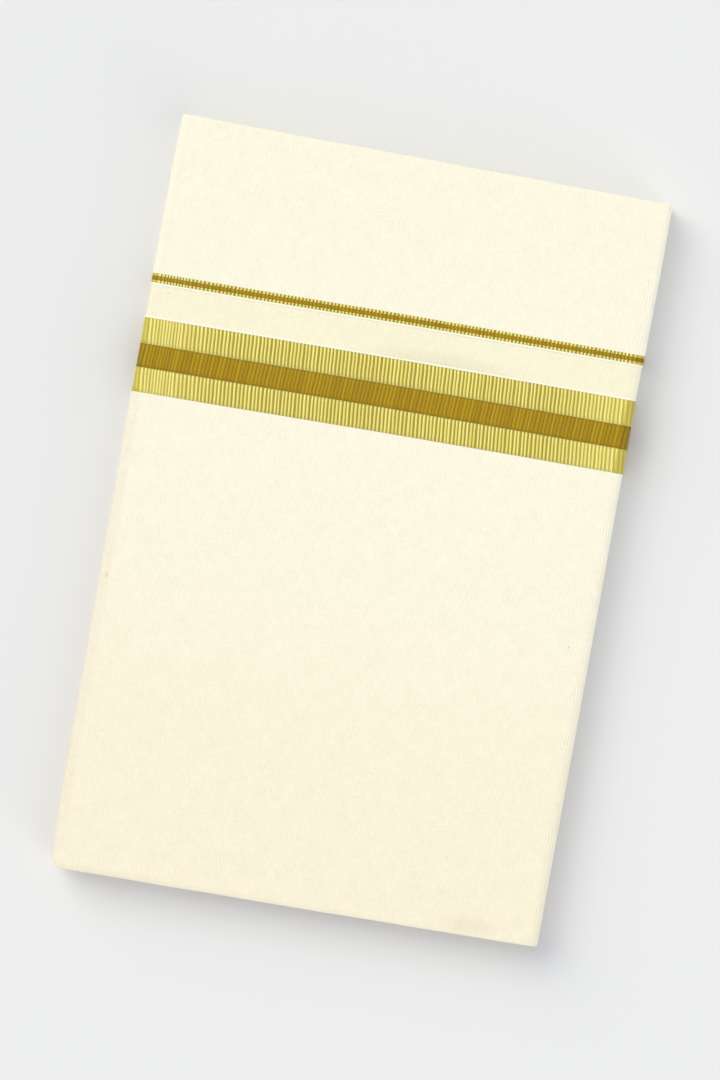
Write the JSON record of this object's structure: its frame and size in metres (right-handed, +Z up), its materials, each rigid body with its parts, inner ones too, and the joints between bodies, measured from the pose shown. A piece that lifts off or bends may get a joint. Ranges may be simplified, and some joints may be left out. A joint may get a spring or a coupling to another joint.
{
  "type": "folded dhoti cloth",
  "caption": "Cotton dhoti cloth folded into a flat layered packet, with a wide and a narrow gold border running across it and both selvedges meeting on its face.",
  "frame": {"origin": "middle of the underside, on the surface that the packet lies on", "axes": "+X across the packet towards its thick fold, +Y along it towards the narrow border's end, +Z up out of the face with both borders"},
  "size_m": [0.2198, 0.3351, 0.0171],
  "materials": {
    "bordered_cotton": "pressed plain weave cotton with woven gold borders, soft sheen on the gold",
    "plain_cotton": "pressed plain weave cotton, matt",
    "layered_cotton": "folded edges of plain weave cotton, matt"
  },
  "bodies": {
    "root": {"lower_flap": "bordered_cotton", "inner_panel": "plain_cotton", "upper_flap": "bordered_cotton", "folded_layers": "layered_cotton"}
  },
  "joints": []
}
